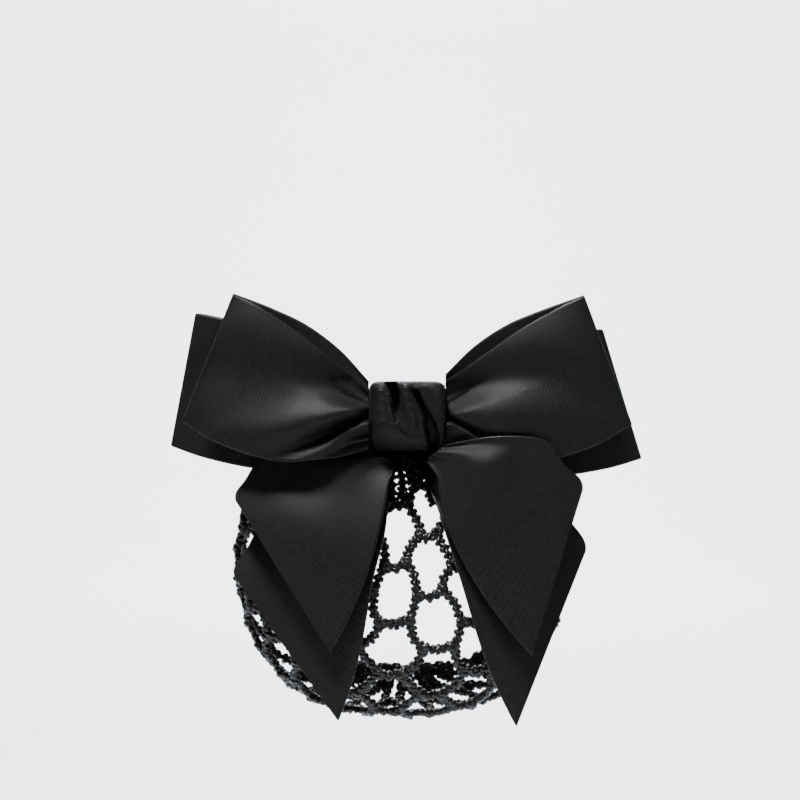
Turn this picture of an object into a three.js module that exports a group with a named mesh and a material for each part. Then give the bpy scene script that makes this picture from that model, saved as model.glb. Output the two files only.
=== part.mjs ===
import * as THREE from "three";

// A hair snood: a double ribbon bow on a hair clip, with a crocheted net bag hung below it.
// Millimetres. +Z is up, -Y is the side that shows, and +Y the side that the clip grips.
// The origin is the middle of the clip's flat back face.

// Driving sizes of the ribbon and of what clears what.
const ribbonWidth = 50;
const ribbonWall = 1;
const seatGap = 0.3;

// The hair clip, a closed spring clip with a flat back plate and an arched front plate.
const clipLength = 80;
const clipHeight = 8;
const clipDepth = 8;
const clipPlate = 1.2;

// The knot over the middle of the bow.
const knotWidth = 28;
const knotHeight = 28;
const knotDepth = 25;
const knotFoldDepth = 3;

// The loops: how far each one reaches from the knot's side, and how far it puffs out.
const frontReachLeft = 62.6;
const frontReachRight = 62.8;
const backReachLeft = 69.7;
const backReachRight = 65.7;
const frontPuff = 7.5;
const backPuff = 3.4;
const frontPleatDepth = 2.4;
const backPleatDepth = 0.7;
const edgeRoll = 5;
const frontSweep = 1;
const backSweep = 4;

// The tails: each one's length from the knot's middle to the middle of its slanted end.
const frontTailLength = 75;
const backTailLength = 97;
const tailPleatDepth = 1.2;
const tailCrown = 1;
const layerGap = 2;

// The net bag: its size over all, and the cord that it is worked in.
const netHalfWidth = 61;
const netDrop = 113;
const netFront = 30;
const netBack = 19;
const netCordWidth = 4.2;
const netCordDepth = 3;
const netShiftX = -2;
const netColumns = 14;
const netRows = 15;

// Depths that follow from what lies on what, measured forwards from the clip's back face.
const netSeat = clipDepth + seatGap + netCordDepth / 2;
const knotBack = netSeat + netCordDepth / 2 + seatGap;
const knotMiddle = knotBack + knotDepth / 2;
const knotSide = knotWidth / 2 + seatGap;
const layerStep = ribbonWall + layerGap;

const rad = THREE.MathUtils.degToRad;
const mix = THREE.MathUtils.lerp;

// The row between table rows at share 0 to 1, by a smooth curve through every column.
function rowAt(rows, share) {
  const place = THREE.MathUtils.clamp(share, 0, 1) * (rows.length - 1);
  const i = Math.min(Math.floor(place), rows.length - 2);
  const f = place - i;
  const pick = (k) => rows[THREE.MathUtils.clamp(k, 0, rows.length - 1)];
  const [a, b, c, d] = [pick(i - 1), pick(i), pick(i + 1), pick(i + 2)];
  const made = {};
  for (const key of Object.keys(b)) {
    const slopeIn = (c[key] - a[key]) / 2;
    const slopeOut = (d[key] - b[key]) / 2;
    const [f2, f3] = [f * f, f * f * f];
    made[key] =
      (2 * f3 - 3 * f2 + 1) * b[key] +
      (f3 - 2 * f2 + f) * slopeIn +
      (3 * f2 - 2 * f3) * c[key] +
      (f3 - f2) * slopeOut;
  }
  return made;
}

// A geometry from shared points and triangles, turned so that its faces point out.
function closedGeometry(points, triangles) {
  let volume = 0;
  for (const [a, b, c] of triangles) {
    volume += points[a].dot(new THREE.Vector3().crossVectors(points[b], points[c]));
  }
  const faces = volume < 0 ? triangles.map(([a, b, c]) => [a, c, b]) : triangles;
  const geometry = new THREE.BufferGeometry().setFromPoints(points);
  geometry.setIndex(faces.flat());
  geometry.computeVertexNormals();
  return geometry;
}

// A surface's unit normal from small steps each way.
function normalOf(surface, s, t) {
  const step = 1e-3;
  const along = surface(Math.min(s + step, 1), t).sub(surface(Math.max(s - step, 0), t));
  const across = surface(s, Math.min(t + step, 1)).sub(surface(s, Math.max(t - step, -1)));
  return along.cross(across).normalize();
}

// A strip of cloth: surface(s, t) has s from 0 to 1 along it and t from -1 to 1 across it.
function clothStrip(surface, alongSteps, acrossSteps, wall) {
  const points = [];
  const at = (side, i, j) => (side * (alongSteps + 1) + i) * (acrossSteps + 1) + j;
  for (const side of [0, 1]) {
    for (let i = 0; i <= alongSteps; i++) {
      for (let j = 0; j <= acrossSteps; j++) {
        const [s, t] = [i / alongSteps, (2 * j) / acrossSteps - 1];
        const lift = normalOf(surface, s, t).multiplyScalar((side - 0.5) * wall);
        points.push(surface(s, t).add(lift));
      }
    }
  }
  const triangles = [];
  const quad = (a, b, c, d) => triangles.push([a, b, c], [a, c, d]);
  for (let i = 0; i < alongSteps; i++) {
    for (let j = 0; j < acrossSteps; j++) {
      quad(at(1, i, j), at(1, i + 1, j), at(1, i + 1, j + 1), at(1, i, j + 1));
      quad(at(0, i, j), at(0, i, j + 1), at(0, i + 1, j + 1), at(0, i + 1, j));
    }
    const last = acrossSteps;
    quad(at(0, i, 0), at(0, i + 1, 0), at(1, i + 1, 0), at(1, i, 0));
    quad(at(0, i, last), at(1, i, last), at(1, i + 1, last), at(0, i + 1, last));
  }
  for (let j = 0; j < acrossSteps; j++) {
    const last = alongSteps;
    quad(at(0, 0, j), at(1, 0, j), at(1, 0, j + 1), at(0, 0, j + 1));
    quad(at(0, last, j), at(0, last, j + 1), at(1, last, j + 1), at(1, last, j));
  }
  return closedGeometry(points, triangles);
}

// A loop's ribbon from the knot, over the front panel, round the outer fold and back again.
// out is a share of the reach, fore of the puff, up and down of the ribbon's width.
const frontLoopSections = [
  { out: 0.0, fore: 0.32, up: 0.17, down: 0.13, pleat: 1.0 },
  { out: 0.12, fore: 0.66, up: 0.2, down: 0.3, pleat: 0.9 },
  { out: 0.28, fore: 0.93, up: 0.25, down: 0.47, pleat: 0.65 },
  { out: 0.5, fore: 1.0, up: 0.35, down: 0.55, pleat: 0.3 },
  { out: 0.78, fore: 0.8, up: 0.44, down: 0.54, pleat: 0.06 },
  { out: 0.955, fore: 0.42, up: 0.49, down: 0.51, pleat: 0 },
  { out: 1.0, fore: 0.14, up: 0.5, down: 0.5, pleat: 0 },
  { out: 0.95, fore: -0.1, up: 0.5, down: 0.5, pleat: 0 },
  { out: 0.72, fore: -0.16, up: 0.5, down: 0.5, pleat: 0 },
  { out: 0.45, fore: -0.16, up: 0.47, down: 0.5, pleat: 0.05 },
  { out: 0.2, fore: -0.12, up: 0.38, down: 0.38, pleat: 0.12 },
  { out: 0.0, fore: -0.06, up: 0.22, down: 0.22, pleat: 0.2 },
];
const backLoopSections = [
  { out: 0.0, fore: 0.38, up: 0.16, down: 0.16, pleat: 1.0 },
  { out: 0.14, fore: 0.6, up: 0.3, down: 0.3, pleat: 0.9 },
  { out: 0.32, fore: 0.9, up: 0.44, down: 0.46, pleat: 0.6 },
  { out: 0.55, fore: 1.0, up: 0.5, down: 0.53, pleat: 0.3 },
  { out: 0.8, fore: 0.8, up: 0.5, down: 0.53, pleat: 0.1 },
  { out: 0.97, fore: 0.5, up: 0.5, down: 0.5, pleat: 0 },
  { out: 1.0, fore: 0.0, up: 0.49, down: 0.49, pleat: 0 },
  { out: 0.97, fore: -0.5, up: 0.5, down: 0.5, pleat: 0 },
  { out: 0.8, fore: -0.6, up: 0.5, down: 0.53, pleat: 0 },
  { out: 0.55, fore: -0.6, up: 0.48, down: 0.5, pleat: 0 },
  { out: 0.3, fore: -0.5, up: 0.42, down: 0.42, pleat: 0 },
  { out: 0.0, fore: -0.35, up: 0.2, down: 0.2, pleat: 0.1 },
];

// What sets one loop apart from the others: its side, reach, lean and pleats.
// seat is the share of the knot's depth at which its gathered ends sit, and sweep how far
// its outer end leans back. rise and tilt are angles in degrees.
const loops = [
  {
    name: "front_loop_left", side: -1, sections: frontLoopSections, reach: frontReachLeft,
    puff: frontPuff, pleatDepth: frontPleatDepth, rise: 20.6, tilt: 22, seat: 0.73,
    pleats: 1.6, pleatPhase: 0.1, roll: edgeRoll, sweep: frontSweep,
  },
  {
    name: "front_loop_right", side: 1, sections: frontLoopSections, reach: frontReachRight,
    puff: frontPuff, pleatDepth: frontPleatDepth, rise: 19.7, tilt: 20.6, seat: 0.73,
    pleats: 1.4, pleatPhase: 0.45, roll: edgeRoll, sweep: frontSweep,
  },
  {
    name: "back_loop_left", side: -1, sections: backLoopSections, reach: backReachLeft,
    puff: backPuff, pleatDepth: backPleatDepth, rise: 11, tilt: 10.7, seat: 0.32,
    pleats: 1.5, pleatPhase: 0, roll: 0, sweep: backSweep,
  },
  {
    name: "back_loop_right", side: 1, sections: backLoopSections, reach: backReachRight,
    puff: backPuff, pleatDepth: backPleatDepth, rise: 7, tilt: 16.9, seat: 0.32,
    pleats: 1.5, pleatPhase: 0, roll: 0, sweep: backSweep,
  },
];

function loopSurface(loop) {
  const seat = knotBack + loop.seat * knotDepth;
  return (s, t) => {
    const row = rowAt(loop.sections, s);
    const tilt = rad(loop.tilt) * row.out;
    const rise = rad(loop.rise);
    const along = loop.reach * row.out;
    const across = t * ribbonWidth * (t > 0 ? row.up : row.down);
    const pleat = Math.cos(Math.PI * (loop.pleats * t + loop.pleatPhase));
    const rolled = loop.roll * Math.max(row.fore, 0) * t * t;
    const fore = row.fore * loop.puff - rolled + row.pleat * loop.pleatDepth * pleat;
    const x = knotSide + along * Math.cos(rise) - across * Math.sin(tilt);
    const z = along * Math.sin(rise) + across * Math.cos(tilt);
    return new THREE.Vector3(loop.side * x, -(seat + fore) + loop.sweep * row.out ** 2, z);
  };
}

// A tail's ribbon from the knot to its slanted end. startOut and startDrop place its gathered
// start in shares of the knot's width and height. From there out and drop place each section's
// middle in shares of the tail's length. turn is the section's slope in degrees, and spread its
// share of the ribbon's width. foreIn and foreOut say how far each edge has come from the knot's
// depth to the depth in front of the net.
const tails = [
  {
    name: "front_tail_left", side: -1, length: frontTailLength, seat: 0.56, layer: 2,
    startOut: 0.281, startDrop: 0.517,
    sections: [
      { out: 0, drop: 0, turn: 22, spread: 0.2, foreIn: 0, foreOut: 0, crown: 0, pleat: 0.7 },
      { out: 0.165, drop: 0.023, turn: 24, spread: 0.6, foreIn: 0.45, foreOut: 0, crown: 0, pleat: 0.7 },
      { out: 0.3, drop: 0.133, turn: 23, spread: 0.96, foreIn: 0.75, foreOut: 0, crown: 0.6, pleat: 0.5 },
      { out: 0.385, drop: 0.313, turn: 31, spread: 1.09, foreIn: 0.95, foreOut: 0.15, crown: 1, pleat: 0.2 },
      { out: 0.5, drop: 0.573, turn: 57.7, spread: 1.28, foreIn: 1, foreOut: 0.3, crown: 1, pleat: 0 },
    ],
  },
  {
    name: "front_tail_right", side: 1, length: frontTailLength, seat: 0.8, layer: 2,
    startOut: 0.375, startDrop: 0.43,
    sections: [
      { out: 0, drop: 0, turn: 36, spread: 0.2, foreIn: 0, foreOut: 0.5, crown: 0, pleat: 0.7 },
      { out: 0.15, drop: 0.023, turn: 36, spread: 0.52, foreIn: 0.6, foreOut: 1.1, crown: 0, pleat: 0.6 },
      { out: 0.28, drop: 0.113, turn: 35, spread: 0.91, foreIn: 0.9, foreOut: 1.15, crown: 0.6, pleat: 0.4 },
      { out: 0.375, drop: 0.283, turn: 39, spread: 1, foreIn: 1, foreOut: 0.6, crown: 1, pleat: 0.2 },
      { out: 0.59, drop: 0.583, turn: 73, spread: 1.25, foreIn: 1, foreOut: 0.1, crown: 1, pleat: 0 },
    ],
  },
  {
    name: "back_tail_left", side: -1, length: backTailLength, seat: 0.08, layer: 1,
    startOut: 0.243, startDrop: 0.47,
    sections: [
      { out: 0, drop: 0, turn: 20, spread: 0.2, foreIn: 0, foreOut: 0, crown: 0, pleat: 0.6 },
      { out: 0.12, drop: 0.1, turn: 19, spread: 0.5, foreIn: 0.6, foreOut: 0.05, crown: 0, pleat: 0.5 },
      { out: 0.23, drop: 0.25, turn: 12, spread: 0.85, foreIn: 0.9, foreOut: 0.2, crown: 0.4, pleat: 0.3 },
      { out: 0.31, drop: 0.46, turn: 19, spread: 0.97, foreIn: 1, foreOut: 0.35, crown: 0.6, pleat: 0.1 },
      { out: 0.385, drop: 0.74, turn: 53.6, spread: 1.27, foreIn: 0.9, foreOut: 0.4, crown: 0.6, pleat: 0 },
    ],
  },
  {
    name: "back_tail_right", side: 1, length: backTailLength, seat: 0.1, layer: 1,
    startOut: 0.277, startDrop: 0.476,
    sections: [
      { out: 0, drop: 0, turn: 25, spread: 0.2, foreIn: 0, foreOut: 0, crown: 0, pleat: 0.6 },
      { out: 0.14, drop: 0.081, turn: 28, spread: 0.55, foreIn: 0.6, foreOut: 0, crown: 0, pleat: 0.5 },
      { out: 0.26, drop: 0.201, turn: 22, spread: 0.83, foreIn: 0.9, foreOut: 0.12, crown: 0.4, pleat: 0.3 },
      { out: 0.345, drop: 0.411, turn: 37, spread: 0.95, foreIn: 1, foreOut: 0.35, crown: 0.6, pleat: 0.1 },
      { out: 0.465, drop: 0.701, turn: 68, spread: 1.36, foreIn: 0.9, foreOut: 0.4, crown: 0.6, pleat: 0 },
    ],
  },
];

function tailSurface(tail) {
  const seat = knotBack + tail.seat * knotDepth;
  const front = netFront + netCordDepth / 2 + tail.layer * layerStep;
  const tailPleats = 1.5;
  return (s, t) => {
    const row = rowAt(tail.sections, s);
    const half = (t * ribbonWidth * row.spread) / 2;
    const turn = rad(row.turn);
    const fore = mix(row.foreIn, row.foreOut, (t + 1) / 2);
    const pleat = row.pleat * tailPleatDepth * Math.cos(Math.PI * tailPleats * t);
    const depth = mix(seat, front, fore) + row.crown * tailCrown * (1 - t * t) + pleat;
    const startZ = -knotHeight * tail.startDrop - seatGap;
    const x = knotWidth * tail.startOut + tail.length * row.out + half * Math.cos(turn);
    const z = startZ - tail.length * row.drop + half * Math.sin(turn);
    return new THREE.Vector3(tail.side * x, -depth, z);
  };
}

// The valleys between the knot's folds, from (x0, z0) to (x1, z1), in shares of its width and
// height from its middle. deep is a share of the fold depth, and broad of the knot's width.
const knotValleys = [
  { x0: -0.42, z0: 0.3, x1: 0.02, z1: -0.42, deep: 0.7, broad: 0.07 },
  { x0: 0.08, z0: 0.34, x1: 0.24, z1: -0.34, deep: 1, broad: 0.07 },
  { x0: -0.2, z0: 0.5, x1: 0.14, z1: 0.2, deep: 0.8, broad: 0.08 },
  { x0: 0.26, z0: 0.5, x1: 0.34, z1: 0.1, deep: 0.5, broad: 0.06 },
];

// The depth of the knot's valleys at a point on its front.
function knotFold(x, z) {
  let depth = 0;
  for (const valley of knotValleys) {
    const along = new THREE.Line3(
      new THREE.Vector3(valley.x0 * knotWidth, 0, valley.z0 * knotHeight),
      new THREE.Vector3(valley.x1 * knotWidth, 0, valley.z1 * knotHeight),
    );
    const spot = new THREE.Vector3(x, 0, z);
    const near = along.closestPointToPoint(spot, true, new THREE.Vector3());
    const away = near.distanceTo(spot) / (valley.broad * knotWidth);
    depth += valley.deep * knotFoldDepth * Math.exp(-away * away);
  }
  return depth;
}

// The knot: a rounded block of folded ribbon, its wraps running down across the front.
function knotGeometry() {
  const [around, rings] = [36, 16];
  const soften = (v) => Math.sign(v) * Math.abs(v) ** 0.45;
  const place = (i, j) => {
    const turn = (2 * Math.PI * i) / around;
    const level = Math.PI * (j / rings - 0.5);
    const [c, s] = [soften(Math.cos(level)), soften(Math.sin(level))];
    const [x, z] = [(knotWidth / 2) * c * soften(Math.cos(turn)), (knotHeight / 2) * s];
    const front = Math.max(Math.sin(turn), 0);
    const y = -knotMiddle - (knotDepth / 2) * c * soften(Math.sin(turn));
    return new THREE.Vector3(x, y + front * c * knotFold(x, z), z);
  };
  const points = [];
  for (let j = 1; j < rings; j++) {
    for (let i = 0; i < around; i++) points.push(place(i, j));
  }
  const low = points.push(place(0, 0)) - 1;
  const high = points.push(place(0, rings)) - 1;
  const at = (i, j) => (j - 1) * around + (i % around);
  const triangles = [];
  for (let i = 0; i < around; i++) {
    triangles.push([low, at(i + 1, 1), at(i, 1)]);
    triangles.push([high, at(i, rings - 1), at(i + 1, rings - 1)]);
    for (let j = 1; j < rings - 1; j++) {
      triangles.push([at(i, j), at(i + 1, j), at(i + 1, j + 1)]);
      triangles.push([at(i, j), at(i + 1, j + 1), at(i, j + 1)]);
    }
  }
  return closedGeometry(points, triangles);
}

// The hair clip, drawn in the XY plane and given its height along Z.
function clipGeometry() {
  const half = clipLength / 2;
  const endRadius = clipPlate;
  const outline = new THREE.Shape();
  outline.moveTo(-half, -endRadius);
  outline.lineTo(-half + endRadius, 0);
  outline.lineTo(half - endRadius, 0);
  outline.lineTo(half, -endRadius);
  outline.quadraticCurveTo(half / 2, -clipDepth, 0, -clipDepth);
  outline.quadraticCurveTo(-half / 2, -clipDepth, -half, -endRadius);
  const gapHalf = half - clipPlate * 6;
  const gap = new THREE.Path();
  gap.moveTo(-gapHalf, -clipPlate);
  gap.quadraticCurveTo(-half / 2, clipPlate - clipDepth, 0, clipPlate - clipDepth);
  gap.quadraticCurveTo(half / 2, clipPlate - clipDepth, gapHalf, -clipPlate);
  gap.lineTo(-gapHalf, -clipPlate);
  outline.holes.push(gap);
  const made = new THREE.ExtrudeGeometry(outline, {
    depth: clipHeight, bevelEnabled: false, curveSegments: 8,
  });
  return made.translate(0, 0, -clipHeight / 2);
}

// The net bag's rows, from the clip over the front and round to the lower edge of the mouth.
// midFore is the depth of the row's middle: 0 at the clip, 1 at the bag's front and -1 at its back.
// endBack is the depth of its two ends on the mouth's edge: 0 at the clip and 1 at the bag's back.
// wide and endOut are half widths, midDrop and endDrop drops, in shares of the bag's own.
const netSections = [
  { midFore: 0, midDrop: 0.01, wide: 0.42, endOut: 0.4, endBack: 0.04, endDrop: 0.03 },
  { midFore: 0.03, midDrop: 0.125, wide: 0.72, endOut: 0.68, endBack: 0.24, endDrop: 0.14 },
  { midFore: 0.41, midDrop: 0.27, wide: 0.95, endOut: 0.84, endBack: 0.6, endDrop: 0.26 },
  { midFore: 0.82, midDrop: 0.43, wide: 1.0, endOut: 0.86, endBack: 0.74, endDrop: 0.4 },
  { midFore: 1.0, midDrop: 0.59, wide: 1.0, endOut: 0.84, endBack: 0.83, endDrop: 0.53 },
  { midFore: 0.93, midDrop: 0.75, wide: 0.94, endOut: 0.76, endBack: 0.89, endDrop: 0.65 },
  { midFore: 0.53, midDrop: 0.9, wide: 0.82, endOut: 0.64, endBack: 0.95, endDrop: 0.75 },
  { midFore: -0.13, midDrop: 0.995, wide: 0.66, endOut: 0.5, endBack: 0.98, endDrop: 0.82 },
  { midFore: -0.67, midDrop: 0.965, wide: 0.5, endOut: 0.39, endBack: 1.0, endDrop: 0.85 },
  { midFore: -1.0, midDrop: 0.87, wide: 0.36, endOut: 0.3, endBack: 1.0, endDrop: 0.86 },
];

// The net's middle surface: s from 0 at the clip to 1 at the mouth, t from -1 to 1 across.
// Its first and last rows are straight, and the rows between them curl round into a bag.
function netSurface(s, t) {
  const row = rowAt(netSections, s);
  const wide = netHalfWidth * row.wide;
  const endAngle = Math.PI - Math.asin(Math.min(row.endOut / row.wide, 1));
  const angle = t * endAngle;
  const share = (1 - Math.cos(angle)) / (1 - Math.cos(endAngle));
  const mid = mix(-netSeat, row.midFore > 0 ? -netFront : netBack, Math.abs(row.midFore));
  const { smoothstep } = THREE.MathUtils;
  const curl = smoothstep(s, 0, 0.3) * (1 - smoothstep(s, 0.78, 1));
  return new THREE.Vector3(
    netShiftX + mix(netHalfWidth * row.endOut * t, wide * Math.sin(angle), curl),
    mix(mid, mix(-netSeat, netBack, row.endBack), share),
    -netDrop * mix(row.midDrop, row.endDrop, share),
  );
}

// A place on the net's grid, as s and t of its surface. The columns draw together below the
// clip, where the bag is gathered, and lean a little to one side on the way down.
function netPlace(i, j) {
  const [u, v] = [(2 * i) / netColumns - 1, j / netRows];
  const s = v + 0.2 * v * (1 - v) ** 2;
  const gather = 0.4 * Math.exp(-(((s - 0.33) / 0.17) ** 2));
  const lean = 0.1 * s * s * (1 - u * u);
  return [s, mix(u, u ** 3, gather) - lean];
}

// The net: columns of six-sided meshes, each column half a mesh lower than the next. A crossing
// (i, j) has i + j even, and is a short level tie. A mesh's middle is where i + j is odd. The
// walls between two columns run from the end of one tie to the end of the next.
function netGeometry() {
  const points = [];
  const numbers = new Map();
  const push = (key, point) => {
    if (!numbers.has(key)) numbers.set(key, points.push(point) - 1);
    return numbers.get(key);
  };
  const surfaceAt = (place) => netSurface(...netPlace(...place));
  const normalAt = (place) => normalOf(netSurface, ...netPlace(...place));
  const inside = (i, j) => i >= 0 && i <= netColumns && j >= 0 && j <= netRows;

  // A tie's points from left to right: its two ends and its middle, which sags. The net's two
  // lower corners are cut off slantwise, so the ties there have no end on that side.
  const tieHalf = 0.31;
  const tieSag = 0.14;
  function tie(i, j) {
    const free = i > 0 && i < netColumns && j > 0 && j < netRows;
    const made = [[i, j + (free ? tieSag : 0)]];
    const atCorner = (column) => Math.abs(i - column) + netRows - j < 2;
    if (i > 0 && !atCorner(0) && !(i === netColumns && atCorner(netColumns))) {
      made.unshift([i - tieHalf, j]);
    }
    if (i < netColumns && !atCorner(netColumns) && !(i === 0 && atCorner(0))) {
      made.push([i + tieHalf, j]);
    }
    return made;
  }

  // The outline of the mesh whose middle is (i, j). On the net's edge that middle is a corner.
  function meshOutline(i, j) {
    const above = inside(i, j - 1) ? tie(i, j - 1) : [[i, j]];
    const right = inside(i + 1, j) ? tie(i + 1, j).slice(0, 1) : [[i, j]];
    const below = inside(i, j + 1) ? tie(i, j + 1).reverse() : [[i, j]];
    const left = inside(i - 1, j) ? tie(i - 1, j).slice(-1) : [[i, j]];
    return [...above, ...right, ...below, ...left];
  }

  const triangles = [];
  const quad = (a, b, c, d) => triangles.push([a, b, c], [a, c, d]);
  const keyOf = ([i, j]) => `${i.toFixed(3)}_${j.toFixed(3)}`;
  const ridge = (place, side) => {
    const lift = normalAt(place).multiplyScalar((side * netCordDepth) / 2);
    return push(`${keyOf(place)} ${side}`, surfaceAt(place).add(lift));
  };

  // One band of cord round a mesh: the ridge along the cord's middle, and the mesh's own edge.
  function band(outline, edgeOf, name) {
    const count = outline.length;
    const edgeDepth = netCordDepth * 0.3;
    const edge = (k, side) => {
      const lift = normalAt(outline[k]).multiplyScalar(side * edgeDepth);
      return push(`${name} ${k} ${side}`, edgeOf(k).add(lift));
    };
    for (let k = 0; k < count; k++) {
      const n = (k + 1) % count;
      quad(ridge(outline[k], 1), ridge(outline[n], 1), edge(n, 1), edge(k, 1));
      quad(ridge(outline[k], -1), edge(k, -1), edge(n, -1), ridge(outline[n], -1));
      quad(edge(k, 1), edge(n, 1), edge(n, -1), edge(k, -1));
    }
  }

  // The net's own edge, walked once round, with half a cord standing outside it.
  const isTie = (i, j) => (i + j) % 2 === 0;
  const walk = [];
  for (let i = 0; i <= netColumns; i++) walk.push(...(isTie(i, 0) ? tie(i, 0) : [[i, 0]]));
  for (let j = 1; j < netRows; j++) walk.push([netColumns, j]);
  for (let i = netColumns - 1; i > 0; i--) {
    walk.push(...(isTie(i, netRows) ? tie(i, netRows).reverse() : [[i, netRows]]));
  }
  for (let j = netRows - 1; j > 0; j--) walk.push([0, j]);
  walk.reverse();
  const rimSpots = walk.map(surfaceAt);
  const outward = (k) => {
    const before = rimSpots[(k + walk.length - 1) % walk.length];
    const after = rimSpots[(k + 1) % walk.length];
    const along = after.clone().sub(before);
    return along.cross(normalAt(walk[k])).normalize();
  };
  band(walk, (k) => rimSpots[k].clone().addScaledVector(outward(k), netCordWidth / 2), "rim");

  for (let j = 0; j <= netRows; j++) {
    for (let i = 0; i <= netColumns; i++) {
      const onSides = i === 0 || i === netColumns;
      const onEnds = j === 0 || j === netRows;
      if ((i + j) % 2 === 0 || (onSides && onEnds)) continue;
      const outline = meshOutline(i, j);
      const spots = outline.map(surfaceAt);
      const middle = spots.reduce((sum, p) => sum.add(p), new THREE.Vector3());
      middle.divideScalar(spots.length);
      const reach = spots.map((p) => p.distanceTo(middle));
      const narrow = Math.min(...reach);
      const share = reach.map((r) => {
        const wanted = netCordWidth * 0.55 + 0.2 * (r - narrow);
        return Math.min(wanted / r, 0.6);
      });
      band(outline, (k) => spots[k].clone().lerp(middle, share[k]), `mesh ${i} ${j}`);
    }
  }
  return closedGeometry(points, triangles);
}

// The finishes: black satin ribbon, black crochet cord and a dark metal clip.
const satin = new THREE.MeshStandardMaterial({ color: 0x1b1b1d, roughness: 0.55, metalness: 0 });
const knotSatin = new THREE.MeshStandardMaterial({ color: 0x19191b, roughness: 0.5, metalness: 0 });
const cord = new THREE.MeshStandardMaterial({ color: 0x131314, roughness: 0.5, metalness: 0 });
const steel = new THREE.MeshStandardMaterial({ color: 0x3a3a3d, roughness: 0.35, metalness: 1 });

const snood = new THREE.Group();
function add(name, geometry, material) {
  const mesh = new THREE.Mesh(geometry, material);
  mesh.name = name;
  snood.add(mesh);
}

for (const loop of loops) add(loop.name, clothStrip(loopSurface(loop), 22, 8, ribbonWall), satin);
for (const tail of tails) add(tail.name, clothStrip(tailSurface(tail), 10, 6, ribbonWall), satin);
add("knot", knotGeometry(), knotSatin);
add("net_bag", netGeometry(), cord);
add("hair_clip", clipGeometry(), steel);

export default snood;
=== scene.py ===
# %% [markdown]
# # A crocheted hair snood under a double ribbon bow
# The real thing is a net bag, worked with a hook from thick black cord. It hangs from a spring
# clip, and a double bow of black satin ribbon hides the clip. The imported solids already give
# every piece its size and place. This lesson gives them cloth, cord and metal.

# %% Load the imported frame
import math
import bmesh
import bpy
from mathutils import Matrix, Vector


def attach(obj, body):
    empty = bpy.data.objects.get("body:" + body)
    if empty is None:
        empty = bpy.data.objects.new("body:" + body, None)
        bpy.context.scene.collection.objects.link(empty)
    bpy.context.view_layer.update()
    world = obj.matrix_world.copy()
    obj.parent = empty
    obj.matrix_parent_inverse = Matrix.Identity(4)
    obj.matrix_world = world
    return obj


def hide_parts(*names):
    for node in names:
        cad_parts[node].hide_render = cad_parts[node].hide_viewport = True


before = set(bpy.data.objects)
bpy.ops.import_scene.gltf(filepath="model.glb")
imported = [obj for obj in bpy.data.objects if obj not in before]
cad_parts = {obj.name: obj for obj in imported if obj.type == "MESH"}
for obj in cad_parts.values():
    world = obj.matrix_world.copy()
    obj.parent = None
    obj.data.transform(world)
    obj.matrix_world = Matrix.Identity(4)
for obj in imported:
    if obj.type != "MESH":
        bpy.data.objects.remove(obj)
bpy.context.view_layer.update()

print("nodes:", sorted(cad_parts))

# %% [markdown]
# ## Camera
# The snood is seen from its front and three degrees above, from far enough away that nothing looks
# stretched. A long lens at 1.2 m gives that view. The frame is 292 mm wide at the bow.

# %% Place the camera
MM = 0.001
FRAME_WIDTH = 292 * MM
CAMERA_DISTANCE = 1.2
LOOK_AT = Vector((-2.6, -30, 6.6)) * MM
CAMERA_RAISE = math.radians(3)

camera_data = bpy.data.cameras.new("camera")
camera_data.sensor_width = 36
camera_data.lens = 36 * CAMERA_DISTANCE / FRAME_WIDTH
camera_data.clip_start = 0.05
camera = bpy.data.objects.new("camera", camera_data)
offset = Vector((0, -math.cos(CAMERA_RAISE), math.sin(CAMERA_RAISE))) * CAMERA_DISTANCE
camera.location = LOOK_AT + offset
camera.rotation_euler = (-offset).to_track_quat("-Z", "Y").to_euler()
bpy.context.scene.collection.objects.link(camera)
bpy.context.scene.camera = camera
print("lens in mm:", round(camera_data.lens, 1))

# %% [markdown]
# ## Helpers for materials
# Colours are picked as screen colours, so one function turns them to the linear values that
# shaders expect. A second one adds a node, sets it and links it in one line. The last two set the
# ends of a colour ramp, and cover a surface with fine grain.

# %% Colour and node helpers
def linear(hex_colour):
    parts = [int(hex_colour[i : i + 2], 16) / 255 for i in (1, 3, 5)]
    return [p / 12.92 if p <= 0.04045 else ((p + 0.055) / 1.055) ** 2.4 for p in parts] + [1.0]


def add_node(tree, kind, settings=None, inputs=None, links=None):
    node = tree.nodes.new(kind)
    for key, value in (settings or {}).items():
        setattr(node, key, value)
    for key, value in (inputs or {}).items():
        node.inputs[key].default_value = value
    for key, socket in (links or {}).items():
        tree.links.new(socket, node.inputs[key])
    return node


def new_material(name):
    material = bpy.data.materials.new(name)
    material.use_nodes = True
    tree = material.node_tree
    return material, tree, tree.nodes["Principled BSDF"]


def set_ramp(ramp, *stops):
    for element, (position, hex_colour) in zip(ramp.color_ramp.elements, stops):
        element.position = position
        element.color = linear(hex_colour)


def add_grain(tree, shader, scale, detail, strength, distance=0.1 * MM):
    """Bumps a surface with a fine noise, and gives the noise node for other uses."""
    place = add_node(tree, "ShaderNodeTexCoord")
    noise = add_node(
        tree, "ShaderNodeTexNoise", inputs={"Scale": scale, "Detail": detail},
        links={"Vector": place.outputs["Object"]},
    )
    bump = add_node(
        tree, "ShaderNodeBump", inputs={"Strength": strength, "Distance": distance},
        links={"Height": noise.outputs["Fac"]},
    )
    tree.links.new(bump.outputs["Normal"], shader.inputs["Normal"])
    return noise
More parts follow.
